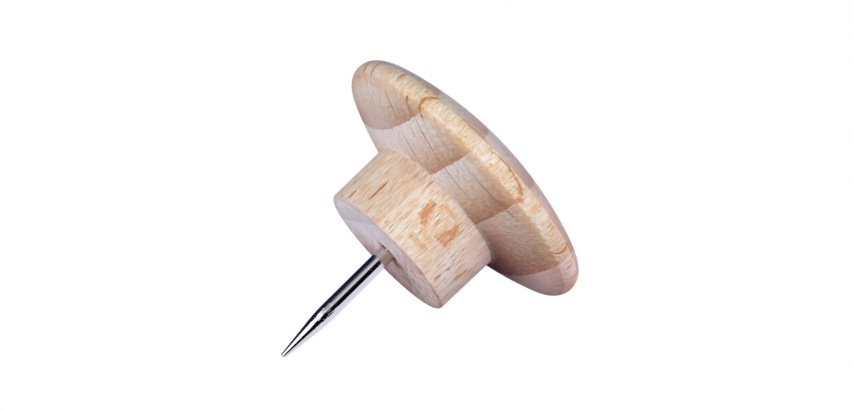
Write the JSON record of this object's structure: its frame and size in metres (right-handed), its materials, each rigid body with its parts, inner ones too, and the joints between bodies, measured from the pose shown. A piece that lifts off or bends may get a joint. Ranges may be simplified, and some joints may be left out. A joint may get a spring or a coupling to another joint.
{
  "type": "push pin",
  "caption": "Push pin with a turned wooden head: a lens-shaped disc on a short hub that carries a pointed steel pin, for holding paper on a pinboard.",
  "frame": {"origin": "centre of the hub's end face, where the pin leaves the head and the head stops against the board", "axes": "+Z along the turning axis from the hub's end face to the top of the head; the pin points along -Z"},
  "size_m": [0.021, 0.021, 0.0203],
  "materials": {
    "turned_beech": "bare sanded pale beech, end grain greyer",
    "bright_steel": "bright drawn and plated wire with a ground point",
    "set_glue": "set amber wood glue"
  },
  "bodies": {
    "root": {"wooden_head": "turned_beech", "steel_pin": "bright_steel", "glue": "set_glue"}
  },
  "joints": []
}
